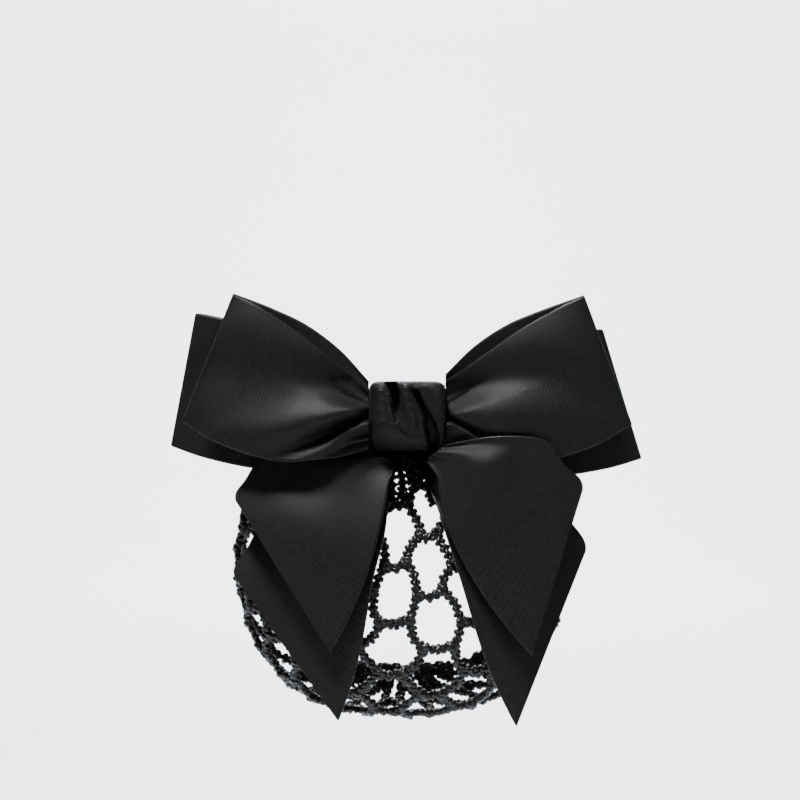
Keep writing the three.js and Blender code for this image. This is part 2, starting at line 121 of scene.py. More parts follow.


# %% [markdown]
# ## Satin ribbon
# The bow is polyester satin ribbon: long floating threads run along it, and fine weft ribs cross
# it. The floats give a soft sheen that follows the folds, and the ribs break it up. Both edges
# are a woven selvage, a narrow band that lies a little proud. The pattern reads the ribbon's own
# UV map, in metres along and across the flat ribbon, so it bends with every fold.
# The colour is painted too: stray threads and the weave's crests are painted lighter, a painted
# highlight.

# %% Woven satin
RIBBON_MM = 50
RIBBON_WIDTH = RIBBON_MM * MM
RIB_PITCH = 0.78 * MM
THREAD_PITCH = 0.5 * MM
SELVAGE = 1.1 * MM


def woven_satin(name, base, lit, rough):
    material, tree, shader = new_material(name)
    uv = add_node(tree, "ShaderNodeUVMap", {"uv_map": "ribbon"})
    parts = add_node(tree, "ShaderNodeSeparateXYZ", links={"Vector": uv.outputs["UV"]})
    along, across = parts.outputs["X"], parts.outputs["Y"]

    def wave(coordinate, pitch):
        turns = add_node(
            tree, "ShaderNodeMath", {"operation": "MULTIPLY"}, {1: 2 * math.pi / pitch},
            {0: coordinate},
        )
        return add_node(tree, "ShaderNodeMath", {"operation": "SINE"}, links={0: turns.outputs[0]})

    ribs = wave(along, RIB_PITCH)
    threads = wave(across, THREAD_PITCH)
    both = add_node(
        tree, "ShaderNodeMath", {"operation": "MULTIPLY_ADD"}, {1: 0.35},
        {0: threads.outputs[0], 2: ribs.outputs[0]},
    )
    # Slow changes of tension in the weave, in patches about 6 mm across.
    slub = add_node(
        tree, "ShaderNodeTexNoise", inputs={"Scale": 160.0, "Detail": 5.0, "Roughness": 0.7},
        links={"Vector": uv.outputs["UV"]},
    )
    # Painted glints: single threads painted lighter, as if they caught the light, stretched along the
    # weft.
    painted_glint_place = add_node(
        tree, "ShaderNodeMapping", inputs={"Scale": (2400.0, 500.0, 1.0)},
        links={"Vector": uv.outputs["UV"]},
    )
    painted_glints = add_node(
        tree, "ShaderNodeTexNoise", inputs={"Scale": 1.0, "Detail": 2.0},
        links={"Vector": painted_glint_place.outputs["Vector"]},
    )
    # Painted highlight: the colour runs from base to lit with the glints and, more weakly, the weave's
    # crests.
    painted_highlight = add_node(
        tree, "ShaderNodeMath", {"operation": "MULTIPLY_ADD"}, {1: 0.12},
        {0: both.outputs[0], 2: painted_glints.outputs["Fac"]},
    )
    colour = add_node(tree, "ShaderNodeValToRGB", links={"Fac": painted_highlight.outputs[0]})
    set_ramp(colour, (0.3, base), (0.85, lit))
    roughness = add_node(
        tree, "ShaderNodeMapRange",
        inputs={"From Min": 0.3, "From Max": 0.7, "To Min": rough - 0.06, "To Max": rough + 0.06},
        links={"Value": slub.outputs["Fac"]},
    )
    # The selvage is a raised band at each edge, crossed by its own coarser ribs.
    centred = add_node(
        tree, "ShaderNodeMath", {"operation": "SUBTRACT"}, {1: RIBBON_WIDTH / 2}, {0: across}
    )
    outwards = add_node(
        tree, "ShaderNodeMath", {"operation": "ABSOLUTE"}, links={0: centred.outputs[0]}
    )
    edge = add_node(
        tree, "ShaderNodeMapRange",
        inputs={
            "From Min": RIBBON_WIDTH / 2 - SELVAGE, "From Max": RIBBON_WIDTH / 2 - SELVAGE * 0.7,
        },
        links={"Value": outwards.outputs[0]},
    )
    picots = wave(along, RIB_PITCH * 1.5)
    edge_height = add_node(
        tree, "ShaderNodeMath", {"operation": "MULTIPLY_ADD"}, {1: 1.2, 2: 2.0}, {0: picots.outputs[0]}
    )
    height = add_node(
        tree, "ShaderNodeMix", {"data_type": "FLOAT"},
        links={0: edge.outputs["Result"], 2: both.outputs[0], 3: edge_height.outputs[0]},
    )
    bump = add_node(
        tree, "ShaderNodeBump", inputs={"Strength": 0.28, "Distance": 0.1 * MM},
        links={"Height": height.outputs[0]},
    )
    tree.links.new(colour.outputs["Color"], shader.inputs["Base Color"])
    tree.links.new(roughness.outputs["Result"], shader.inputs["Roughness"])
    tree.links.new(bump.outputs["Normal"], shader.inputs["Normal"])
    shader.inputs["IOR"].default_value = 1.5
    shader.inputs["Specular IOR Level"].default_value = 0.09
    shader.inputs["Sheen Weight"].default_value = 0.015
    shader.inputs["Sheen Roughness"].default_value = 0.4
    shader.inputs["Sheen Tint"].default_value = linear("#9AA4A8")
    return material


# The lit colour is the painted highlight of the glints and weave crests.
satin = woven_satin("woven polyester satin", "#030303", "#0E0F0F", 0.54)
print("satin ribs every", RIB_PITCH / MM, "mm")

# %% [markdown]
# ## Crochet cord and clip steel
# The net is worked in rayon gimp, a core wrapped round and round with shiny thread. Its ribs are
# real geometry further on, so the material only needs the thread's gloss. The clip is steel with
# a dark baked coating, slightly uneven from the dipping.

# %% Gimp cord and coated steel
def gimp_cord(name):
    material, tree, shader = new_material(name)
    noise = add_grain(tree, shader, scale=900.0, detail=4.0, strength=0.4)
    colour = add_node(tree, "ShaderNodeValToRGB", links={"Fac": noise.outputs["Fac"]})
    set_ramp(colour, (0.35, "#040404"), (0.8, "#101112"))
    tree.links.new(colour.outputs["Color"], shader.inputs["Base Color"])
    shader.inputs["Roughness"].default_value = 0.3
    shader.inputs["IOR"].default_value = 1.52
    shader.inputs["Specular IOR Level"].default_value = 0.16
    return material


def coated_steel(name):
    material, tree, shader = new_material(name)
    noise = add_grain(tree, shader, scale=350.0, detail=6.0, strength=0.15)
    rough = add_node(
        tree, "ShaderNodeMapRange", inputs={"To Min": 0.24, "To Max": 0.46},
        links={"Value": noise.outputs["Fac"]},
    )
    shader.inputs["Base Color"].default_value = linear("#2B2C30")
    shader.inputs["Metallic"].default_value = 0.85
    tree.links.new(rough.outputs["Result"], shader.inputs["Roughness"])
    return material


gimp = gimp_cord("wrapped rayon gimp")
steel = coated_steel("baked black steel")

# %% [markdown]
# ## Sizes that the pieces share
# The ribbon lies in layers from the clip outwards: the clip, the top of the net, the back tails,
# the back loops, the front tails and the front loops. All of them meet at the knot. These are the
# sizes that the solids were made to, in millimetres.

# %% Shared sizes
KNOT = {"wide": 28, "high": 28, "deep": 25}
SEAT_GAP = 0.3
CLIP = {"long": 80, "high": 8, "deep": 8, "plate": 1.2}
NET = {"half": 61, "drop": 113, "front": 30, "back": 19, "shift": -2, "cord_deep": 3}
NET_COLUMNS, NET_ROWS = 14, 15
NET_SEAT = CLIP["deep"] + SEAT_GAP + NET["cord_deep"] / 2
KNOT_BACK = NET_SEAT + NET["cord_deep"] / 2 + SEAT_GAP
KNOT_MIDDLE = KNOT_BACK + KNOT["deep"] / 2
LOOP_GAP = 0.05  # between the knot's side and the start of a loop
LAYER_STEP = 3
CLOTH = 0.5 * MM


def mix(a, b, f):
    return a + (b - a) * f


def smooth_step(value, low, high):
    share = min(max((value - low) / (high - low), 0), 1)
    return share * share * (3 - 2 * share)


def row_at(rows, share):
    """The row at a share from 0 to 1, by a smooth curve through every column."""
    place = min(max(share, 0), 1) * (len(rows) - 1)
    i = min(int(place), len(rows) - 2)
    f = place - i
    pick = lambda k: rows[min(max(k, 0), len(rows) - 1)]
    a, b, c, d = pick(i - 1), pick(i), pick(i + 1), pick(i + 2)
    made = []
    for p, q, r, s in zip(a, b, c, d):
        rise_in, rise_out = (r - p) / 2, (s - q) / 2
        made.append(
            (2 * f**3 - 3 * f**2 + 1) * q + (f**3 - 2 * f**2 + f) * rise_in
            + (3 * f**2 - 2 * f**3) * r + (f**3 - f**2) * rise_out
        )
    return made


def normal_of(surface, s, t, step=1e-3):
    along = surface(min(s + step, 1), t) - surface(max(s - step, 0), t)
    across = surface(s, min(t + step, 1)) - surface(s, max(t - step, -1))
    return along.cross(across).normalized()


def finish_piece(name, mesh, material, nodes=()):
    """Makes an object of a bmesh, at the origin, and ties it to the frame."""
    data = bpy.data.meshes.new(name)
    mesh.to_mesh(data)
    mesh.free()
    for polygon in data.polygons:
        polygon.use_smooth = True
    piece = bpy.data.objects.new(name, data)
    bpy.context.scene.collection.objects.link(piece)
    data.materials.append(material)
    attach(piece, "root")
    if nodes:
        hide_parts(*nodes)
    print(name, "faces:", len(data.polygons))
    return piece


# %% [markdown]
# ## A strip of ribbon
# Every loop and tail is one straight strip of ribbon. It starts as a flat grid, and a function
# that says where each point of the strip ends up folds it. That keeps the weave true, because
# the UV map is written from the flat strip. A Solidify modifier gives the cloth its thickness.

# %% Folding a grid into a ribbon
def ribbon(name, surface, length, across_steps, along_steps, node):
    mesh = bmesh.new()
    bmesh.ops.create_grid(mesh, x_segments=along_steps, y_segments=across_steps, size=0.5)
    weave = mesh.loops.layers.uv.new("ribbon")
    for face in mesh.faces:
        for corner in face.loops:
            flat = corner.vert.co
            corner[weave].uv = ((flat.x + 0.5) * length * MM, (flat.y + 0.5) * RIBBON_WIDTH)
    for vert in mesh.verts:
        vert.co = surface(vert.co.x + 0.5, 2 * vert.co.y) * MM
    piece = finish_piece(name, mesh, satin, [node])
    wall = piece.modifiers.new("cloth thickness", "SOLIDIFY")
    wall.thickness = CLOTH
    wall.offset = 0
    return piece


# %% [markdown]
# ## The loops
# A loop's strip leaves the knot in gathers, opens out to its full width over the front panel,
# turns round the crisp outer fold and comes back behind. The table holds one row for each
# station on that way. Ridges and valleys that fan out from the knot are a second short table.

# %% Loops of the front and back bow
# Columns: out (share of the reach), fore (share of the puff), up and down (shares of the width
# above and below the middle line), pleat (share of the pleat depth).
FRONT_LOOP = [
    (0.0, 0.32, 0.22, 0.15, 1.0), (0.12, 0.66, 0.26, 0.24, 0.9), (0.28, 0.93, 0.33, 0.41, 0.65),
    (0.5, 1.0, 0.41, 0.53, 0.3), (0.78, 0.8, 0.47, 0.55, 0.06), (0.955, 0.42, 0.49, 0.51, 0.0),
    (1.0, 0.14, 0.5, 0.5, 0.0), (0.95, -0.1, 0.5, 0.5, 0.0), (0.72, -0.16, 0.5, 0.5, 0.0),
    (0.45, -0.16, 0.48, 0.5, 0.05), (0.2, -0.12, 0.4, 0.38, 0.12), (0.0, -0.06, 0.265, 0.22, 0.2),
]
BACK_LOOP = [
    (0.0, 0.38, 0.16, 0.16, 1.0), (0.14, 0.6, 0.3, 0.3, 0.9), (0.32, 0.9, 0.44, 0.46, 0.6),
    (0.55, 1.0, 0.5, 0.53, 0.3), (0.8, 0.8, 0.5, 0.53, 0.1), (0.97, 0.5, 0.5, 0.5, 0.0),
    (1.0, 0.0, 0.49, 0.49, 0.0), (0.97, -0.5, 0.5, 0.5, 0.0), (0.8, -0.6, 0.5, 0.53, 0.0),
    (0.55, -0.6, 0.48, 0.5, 0.0), (0.3, -0.5, 0.42, 0.42, 0.0), (0.0, -0.35, 0.2, 0.2, 0.1),
]
# Folds of the front panel. Columns: the share of the strip at which the fold has faded, its
# height in mm (negative for a valley), its half width in t, and its t in even steps on the way.
LEFT_FOLDS = [
    (0.42, 3.0, 0.26, (0.4, 0.0, -0.36, -0.72, -1.0)),
    (0.5, -6.4, 0.46, (0.78, 0.46, 0.2, -0.04, -0.2)),
    (0.3, -5.4, 0.17, (0.06, -0.36, -0.68, -0.95)),
    (0.32, 1.8, 0.16, (-0.34, -0.68, -0.92, -1.0)),
]
RIGHT_FOLDS = [
    (0.46, -5.4, 0.34, (0.56, 0.5, 0.34, -0.06, -0.85)),
    (0.36, 1.5, 0.3, (0.26, 0.06, -0.16, -0.4, -0.95)),
    (0.27, -5.0, 0.12, (0.06, -0.34, -0.6, -0.7, -0.74)),
    (0.3, 1.6, 0.12, (-0.26, -0.6, -0.82, -0.88)),
]
BACK_FOLDS = [(0.45, -1.2, 0.25, (0.3, 0.3)), (0.45, -1.2, 0.25, (-0.4, -0.5))]

LOOPS = {
    "front_loop_left": dict(
        side=-1, rows=FRONT_LOOP, reach=62.6, puff=7.5, pleat=1.2, rise=20.6, tilt=22, seat=0.73,
        waves=1.6, phase=0.1, roll=5, sweep=1, hitch=0, folds=LEFT_FOLDS, length=136,
    ),
    "front_loop_right": dict(
        side=1, rows=FRONT_LOOP, reach=62.8, puff=7.5, pleat=1.0, rise=19.7, tilt=20.6, seat=0.73,
        waves=1.4, phase=0.45, roll=5, sweep=1, hitch=0.05, folds=RIGHT_FOLDS, length=136,
    ),
    "back_loop_left": dict(
        side=-1, rows=BACK_LOOP, reach=69.7, puff=3.4, pleat=0.6, rise=11, tilt=10.7, seat=0.32,
        waves=1.5, phase=0, roll=0, sweep=4, hitch=0, folds=BACK_FOLDS, length=146,
    ),
    "back_loop_right": dict(
        side=1, rows=BACK_LOOP, reach=65.7, puff=3.4, pleat=0.6, rise=7, tilt=16.9, seat=0.32,
        waves=1.5, phase=0, roll=0, sweep=4, hitch=0, folds=BACK_FOLDS, length=138,
    ),
}


def fold_height(folds, s, t):
    """How far the folds lift the cloth at a point of the strip, in millimetres."""
    lift = 0
    for fades, high, broad, course in folds:
        if s < fades:
            middle = row_at([(spot,) for spot in course], s / fades)[0]
            away = (t - middle) / broad
            lift += high * math.exp(-away * away) * math.cos(s / fades * math.pi / 2) ** 0.7
    return lift


def loop_surface(loop):
    seat = KNOT_BACK + loop["seat"] * KNOT["deep"]
    rise = math.radians(loop["rise"])

    def surface(s, t):
        out, fore, up, down, pleat = row_at(loop["rows"], s)
        tilt = math.radians(loop["tilt"]) * out
        along = loop["reach"] * out
        # The hitch is how much higher the upper edge starts at the knot.
        across = t * RIBBON_MM * (up + loop["hitch"] * (1 - out) ** 2 if t > 0 else down)
        wave = math.cos(math.pi * (loop["waves"] * t + loop["phase"]))
        # The upper edge rolls back, and the lower one stays proud and shades the tail.
        depth = fore * loop["puff"] - loop["roll"] * max(fore, 0) * t * t * (1 if t > 0 else 0.4)
        depth += pleat * loop["pleat"] * wave + fold_height(loop["folds"], s, t)
        # Small gathers close to the knot.
        depth += 0.4 * math.sin(19 * t + 3 * loop["phase"]) * math.exp(-out * 8)
        # The cloth is never quite flat.
        depth += 0.25 * math.sin(15.3 * s + 2.3 * t + loop["side"]) * math.sin(3.7 * t + 14 * s)
        x = KNOT["wide"] / 2 + LOOP_GAP + along * math.cos(rise) - across * math.sin(tilt)
        z = along * math.sin(rise) + across * math.cos(tilt)
        return Vector((loop["side"] * x, -(seat + depth) + loop["sweep"] * out**2, z))

    return surface


pieces = {}
for name, loop in LOOPS.items():
    pieces[name] = ribbon(name + "_cloth", loop_surface(loop), loop["length"], 72, 180, name)

# %% [markdown]
# ## The tails
# A tail is the same strip again, laid from the knot down over the net and cut off slantwise. Its
# table gives each station's middle, slope and width, and how far each edge has come forward.

# %% Tails of the front and back bow
# Columns: out and drop (shares of the length), turn (degrees), spread (share of the width), in
# and outer edge (shares of the way from the knot's depth to the front of the net), crown, pleat.
# Dents are soft hollows and humps: s, t, half length, half width, height in mm.
TAIL_PLEAT = 1.2
TAILS = {
    "front_tail_left": dict(
        side=-1, length=75, seat=0.56, layer=2, start=(0.281, 0.517), cut=(59, 74),
        dents=[(0.55, 0.15, 0.16, 0.5, -1.6), (0.8, 0, 0.2, 0.7, 0.8)],
        rows=[
            (0, 0, 22, 0.2, 0, 0, 0, 0.7), (0.165, 0.023, 24, 0.6, 0.45, 0, 0, 0.7),
            (0.305, 0.133, 23, 0.96, 0.75, 0.02, 0.6, 0.5), (0.385, 0.313, 31, 1.09, 0.95, 0.15, 1, 0.2),
            (0.5, 0.573, 57.7, 1.28, 1, 0.3, 1, 0),
        ],
    ),
    "front_tail_right": dict(
        side=1, length=75, seat=0.8, layer=2, start=(0.375, 0.43), cut=(62, 78),
        dents=[(0.6, 0.35, 0.15, 0.5, -1.8), (0.4, 0.1, 0.14, 0.5, 1.4), (0.4, -1.05, 0.4, 0.3, -1.8)],
        rows=[
            (0, 0, 36, 0.2, 0, 0.5, 0, 0.7), (0.15, 0.023, 36, 0.52, 0.6, 1.1, 0, 0.6),
            (0.28, 0.113, 35, 0.91, 0.9, 1.15, 0.6, 0.4), (0.375, 0.283, 39, 1, 1, 0.6, 1, 0.2),
            (0.59, 0.583, 73, 1.25, 1, 0.1, 1, 0),
        ],
    ),
    "back_tail_left": dict(
        side=-1, length=97, seat=0.08, layer=1, start=(0.243, 0.47), cut=(81, 96), dents=[],
        rows=[
            (0, 0, 20, 0.2, 0, 0, 0, 0.6), (0.12, 0.1, 19, 0.5, 0.6, 0.05, 0, 0.5),
            (0.23, 0.25, 12, 0.85, 0.9, 0.2, 0.4, 0.3), (0.31, 0.46, 19, 0.97, 1, 0.35, 0.6, 0.1),
            (0.385, 0.74, 53.6, 1.27, 0.9, 0.4, 0.6, 0),
        ],
    ),
    "back_tail_right": dict(
        side=1, length=97, seat=0.08, layer=1, start=(0.277, 0.466), cut=(82, 97), dents=[],
        rows=[
            (0, 0, 25, 0.2, 0, 0, 0, 0.6), (0.14, 0.081, 28, 0.55, 0.6, 0, 0, 0.5),
            (0.26, 0.201, 22, 0.83, 0.9, 0.12, 0.4, 0.3), (0.345, 0.411, 37, 0.95, 1, 0.35, 0.6, 0.1),
            (0.465, 0.701, 68, 1.36, 0.9, 0.4, 0.6, 0),
        ],
    ),
}


def tail_surface(tail):
    seat = KNOT_BACK + tail["seat"] * KNOT["deep"]
    front = NET["front"] + NET["cord_deep"] / 2 + tail["layer"] * LAYER_STEP
    start_x, start_z = KNOT["wide"] * tail["start"][0], -KNOT["high"] * tail["start"][1] - SEAT_GAP

    def surface(s, t):
        out, drop, turn, spread, fore_in, fore_out, crown, pleat = row_at(tail["rows"], s)
        half = t * RIBBON_MM * spread / 2
        turn = math.radians(turn)
        fore = mix(fore_in, fore_out, (t + 1) / 2)
        depth = mix(seat, front, fore) + crown * (1 - t * t)
        for spot_s, spot_t, long, broad, high in tail["dents"]:
            depth += high * math.exp(-(((s - spot_s) / long) ** 2) - ((t - spot_t) / broad) ** 2)
        depth += pleat * TAIL_PLEAT * math.cos(math.pi * 1.5 * t)
        depth += 0.3 * math.sin(17 * t) * math.exp(-s * 8)
        depth += 0.5 * s * math.sin(2.6 * t + 5 * s + tail["side"])
        x = start_x + tail["length"] * out + half * math.cos(turn)
        z = start_z - tail["length"] * drop + half * math.sin(turn)
        return Vector((tail["side"] * x, -depth, z))

    return surface


for name, tail in TAILS.items():
    pieces[name] = ribbon(name + "_cloth", tail_surface(tail), tail["cut"][0], 64, 96, name)

# %% [markdown]
# ## The knot
# The knot is a wrap of the same ribbon, pulled tight so that it crumples into three lobes with
# deep slits between them. It starts as a fine cube that is swelled to a rounded block. Then the
# slits are pressed into its front. Each slit is an outline in the knot's plane with a depth, which
# gives the crisp cloth edges that a smooth wave can't.

# %% The knot's slits and lips
# Outlines in mm from the knot's middle, as (x, z), with the depth in mm and the softness of the
# edge in mm.
KNOT_SLITS = [
    (7.0, 0.7, [
        (-7.6, 12.9), (-4.2, 13.1), (-2.8, 9.5), (-2.2, 6.2), (-2.6, 3.0), (-4.1, -0.9), (-5.1, 3.0),
        (-5.5, 6.4), (-6.6, 10),
    ]),
    (7.0, 0.8, [
        (1.6, 10.6), (3.7, 10.3), (5.8, 5.3), (8.1, 1.8), (10.2, -1.6), (11.4, -6), (11, -15),
        (8.4, -15), (7.6, -7.8), (6.8, -3.9), (6.1, 0.2), (4.2, 4.6),
    ]),
    (1.5, 1.6, [
        (-15, -2), (-9, -1.6), (-4.6, -2.6), (-1.3, -4.8), (1.7, -6), (6.8, -6.6), (7, -16),
        (-15, -16),
    ]),
]
# Lips and lobes of folded cloth. Each has its height and half width in mm, and its course as
# (x, z).
KNOT_LIPS = [
    (0.9, 0.8, [(-6.8, 9), (-6.3, 6.6), (-5.7, 3.5), (-4.8, 0.4), (-3.5, -2.6), (0.4, -5)]),
    (2.2, 3.4, [(-9.6, 10), (-9.2, 5), (-8, 0)]),
    (0.8, 0.9, [(-1.6, 13.5), (1, 9.6), (3.3, 5), (5.2, 0.8), (5.9, -3.6)]),
    (2.5, 2.4, [(-1.0, 11), (0.8, 5), (2.2, 0), (2.4, -3)]),
    (1.0, 3, [(8, 12), (12, 7), (13.5, 2)]),
]


def nearest_to(course, x, z, closed):
    """Distance in mm from a point to a line of points, and whether a closed one holds it."""
    nearest, holds = 1e9, False
    ends = list(zip(course, course[1:])) + ([(course[-1], course[0])] if closed else [])
    for (ax, az), (bx, bz) in ends:
        wx, wz = bx - ax, bz - az
        share = min(max(((x - ax) * wx + (z - az) * wz) / (wx * wx + wz * wz), 0), 1)
        nearest = min(nearest, math.hypot(x - ax - wx * share, z - az - wz * share))
        if closed and (az > z) != (bz > z) and x < ax + wx * (z - az) / wz:
            holds = not holds
    return nearest, holds


def knot_press(x, z):
    """How far a point of the knot's front is pressed in, in mm."""
    press = 0
    for deep, soft, outline in KNOT_SLITS:
        away, holds = nearest_to(outline, x, z, True)
        press += deep * smooth_step(away if holds else -away, -soft, soft)
    for high, broad, course in KNOT_LIPS:
        away, _ = nearest_to(course, x, z, False)
        press -= high * math.exp(-((away / broad) ** 2))
    # The lower part leans back under the bow, and the left lobe turns in to the loops.
    return press + 0.075 * max(-z - 1, 0) ** 2 + 0.05 * max(-x - 8, 0) ** 2


# %% The folded knot
KNOT_BLOCK = 9  # 2 would be a ball, and a very large number a cube with sharp edges
KNOT_RIB = {"pitch": 1.0, "high": 0.11}  # mm. The real ribs are finer, and would not show


def knot_weave(x, z):
    """Places in mm along and across the ribbon. Right of the long slit it lies slantwise."""
    slant = math.radians(48 if x > 5.2 - z * 0.42 else -14)
    return z * math.cos(slant) - x * math.sin(slant), x * math.cos(slant) + z * math.sin(slant)


def knot_point(corner):
    """A point of the knot in mm, for a point on the face of a cube of half size 1."""
    size = sum(abs(v) ** KNOT_BLOCK for v in corner) ** (1 / KNOT_BLOCK)
    across, fore, up = corner.x / size, -corner.y / size, corner.z / size
    x, z = across * KNOT["wide"] / 2, up * KNOT["high"] / 2
    x *= 1 - 0.12 * smooth_step(-z, 7, 15)
    # The top slopes down to the back, as the wrap is pulled tight there.
    z *= 1 - 0.07 * (1 - fore) if up > 0 else 1
    press = knot_press(x, z) * smooth_step(fore, 0.1, 0.85) if fore > 0.1 else 0
    if fore > 0.5:
        along, _ = knot_weave(x, z)
        press += KNOT_RIB["high"] * math.sin(2 * math.pi * along / KNOT_RIB["pitch"])
    return Vector((x, -KNOT_MIDDLE - fore * KNOT["deep"] / 2 + press, z))


knot_mesh = bmesh.new()
bmesh.ops.create_cube(knot_mesh, size=2)
bmesh.ops.subdivide_edges(knot_mesh, edges=knot_mesh.edges, cuts=87, use_grid_fill=True)
weave = knot_mesh.loops.layers.uv.new("ribbon")
for vert in knot_mesh.verts:
    vert.co = knot_point(vert.co) * MM
for face in knot_mesh.faces:
    for corner in face.loops:
        along, across = knot_weave(corner.vert.co.x / MM, corner.vert.co.z / MM)
        corner[weave].uv = (along * MM, RIBBON_WIDTH / 2 + across * MM)
pieces["knot"] = finish_piece("knot_wrap", knot_mesh, satin, ["knot"])

# %% [markdown]
# ## The crocheted net
# Each strand of the net is a few chain stitches. Two cords swing to and fro against each other, so
# a strand looks plaited. A cord is a ring of six points, spun along its path. Every second ring is
# a little thinner, which gives the ribs of the wrapped thread. Where strands meet, a tight stitch
# binds them.

# %% The net's surface and its grid of crossings
NET_SECTIONS = [
    # mid_fore, mid_drop, wide, end_out, end_back, end_drop
    (0, 0.01, 0.42, 0.4, 0.04, 0.03), (0.03, 0.125, 0.72, 0.68, 0.24, 0.14),
    (0.41, 0.27, 0.95, 0.84, 0.6, 0.26), (0.82, 0.43, 1.0, 0.86, 0.74, 0.4),
    (1.0, 0.59, 1.0, 0.84, 0.83, 0.53), (0.93, 0.75, 0.94, 0.76, 0.89, 0.65),
    (0.53, 0.9, 0.82, 0.64, 0.95, 0.75), (-0.13, 0.995, 0.66, 0.5, 0.98, 0.82),
    (-0.67, 0.965, 0.5, 0.39, 1.0, 0.85), (-1.0, 0.87, 0.36, 0.3, 1.0, 0.86),
]


def net_surface(s, t):
    mid_fore, mid_drop, wide, end_out, end_back, end_drop = row_at(NET_SECTIONS, s)
    end_angle = math.pi - math.asin(min(end_out / wide, 1))
    angle = t * end_angle
    share = (1 - math.cos(angle)) / (1 - math.cos(end_angle))
    mid = mix(-NET_SEAT, -NET["front"] if mid_fore > 0 else NET["back"], abs(mid_fore))
    curl = smooth_step(s, 0, 0.3) * (1 - smooth_step(s, 0.78, 1))
    return Vector((
        NET["shift"] + NET["half"] * mix(end_out * t, wide * math.sin(angle), curl),
        mix(mid, mix(-NET_SEAT, NET["back"], end_back), share),
        -NET["drop"] * mix(mid_drop, end_drop, share),
    ))


def net_place(i, j):
    """s and t of a grid place. Hand work is uneven, so each place is a little off its row."""
    i += 0.07 * math.sin(2.3 * i + 4.1 * j) * math.sin(math.pi * i / NET_COLUMNS)
    j += 0.09 * math.sin(3.1 * i - 2.7 * j + 1) * math.sin(math.pi * j / NET_ROWS)
    u, v = 2 * i / NET_COLUMNS - 1, j / NET_ROWS
    s = v + 0.2 * v * (1 - v) ** 2
    gather = 0.4 * math.exp(-(((s - 0.33) / 0.17) ** 2))
    return s, mix(u, u**3, gather) - 0.1 * s * s * (1 - u * u)


def grid_point(i, j):
    return net_surface(*net_place(i, j))


def grid_normal(i, j):
    return normal_of(net_surface, *net_place(i, j))


# %% Ties and walls of the meshes
# The meshes have six sides. A crossing (i, j), with i + j even, is a short level tie, and walls
# join the end of one tie to the end of the next, as in the solid.
TIE_HALF, TIE_SAG = 0.31, 0.14


def tie(i, j):
    """Grid places of a tie from left to right. The net's two lower corners are cut off."""
    free = 0 < i < NET_COLUMNS and 0 < j < NET_ROWS
    made = [(i, j + (TIE_SAG if free else 0))]
    left_corner = i + NET_ROWS - j < 2
    right_corner = NET_COLUMNS - i + NET_ROWS - j < 2
    if i > 0 and not left_corner and not (i == NET_COLUMNS and right_corner):
        made.insert(0, (i - TIE_HALF, j))
    if i < NET_COLUMNS and not right_corner and not (i == 0 and left_corner):
        made.append((i + TIE_HALF, j))
    return made


crossings = [
    (i, j) for j in range(NET_ROWS + 1) for i in range(NET_COLUMNS + 1) if (i + j) % 2 == 0
]
ties = [tie(i, j) for i, j in crossings if len(tie(i, j)) > 1]
walls = []
for i, j in crossings:
    for side in (-1, 1):
        if 0 <= i + side <= NET_COLUMNS and j < NET_ROWS:
            start, end = tie(i, j), tie(i + side, j + 1)
            walls.append([start[-1], end[0]] if side > 0 else [start[0], end[-1]])
rims = []
for i in range(NET_COLUMNS - 1):
    for j in (0, NET_ROWS):
        if (i + j) % 2 == 0:
            rims.append([tie(i, j)[-1], (i + 1, j), tie(i + 2, j)[0]])
for j in range(0, NET_ROWS - 1, 2):
    for i in (0, NET_COLUMNS):
        rims.append([(i, j), (i, j + 1), (i, j + 2)])
print("ties:", len(ties), "walls:", len(walls), "rims:", len(rims))


# %% Ribbed cord along any path
CORD_RADIUS = 1.2
RIB_SPACING = 0.5  # half the pitch of the ribs
CORD_SIDES = 6
RING_SHARES = {"rib": 1.0, "groove": 0.74, "tip": 0.6}  # of the radius


def even_points(path, count):
    """Points in even steps along a path, so that the ribs lie evenly too."""
    steps = [(b - a).length for a, b in zip(path, path[1:])]
    length, walked, k, made = sum(steps), 0.0, 0, []
    for n in range(count + 1):
        want = length * n / count
        while k < len(steps) - 1 and walked + steps[k] < want:
            walked += steps[k]
            k += 1
        made.append(path[k].lerp(path[k + 1], min((want - walked) / max(steps[k], 1e-9), 1)))
    return made


def ribbed_cord(target, path, radius, spacing=RIB_SPACING):
    """Rolls a grid into a ribbed tube round a path in mm, and adds it to the target mesh."""
    length = sum((b - a).length for a, b in zip(path, path[1:]))
    count = max(int(length / spacing), 6)
    spots = even_points(path, count)
    up, rings = Vector((0.3, 0.1, 0.95)), []
    for n, spot in enumerate(spots):
        tangent = (spots[min(n + 1, count)] - spots[max(n - 1, 0)]).normalized()
        side = tangent.cross(up).normalized()
        up = side.cross(tangent)
        swell = radius * RING_SHARES["tip" if n in (0, count) else "rib" if n % 2 else "groove"]
        rings.append([
            spot + (side * math.cos(q) + up * math.sin(q)) * swell
            for q in [2 * math.pi * m / CORD_SIDES for m in range(CORD_SIDES)]
        ])
    tube = bmesh.new()
    bmesh.ops.create_grid(tube, x_segments=count, y_segments=CORD_SIDES, size=0.5)
    for vert in tube.verts:
        n = round((vert.co.x + 0.5) * count)
        m = round((vert.co.y + 0.5) * CORD_SIDES) % CORD_SIDES
        vert.co = rings[n][m] * MM
    bmesh.ops.remove_doubles(tube, verts=tube.verts, dist=1e-7)
    bmesh.ops.holes_fill(tube, edges=tube.edges, sides=CORD_SIDES)
    bmesh.ops.recalc_face_normals(tube, faces=tube.faces)
    data = bpy.data.meshes.new("strand")
    tube.to_mesh(data)
    tube.free()
    target.from_mesh(data)
    bpy.data.meshes.remove(data)


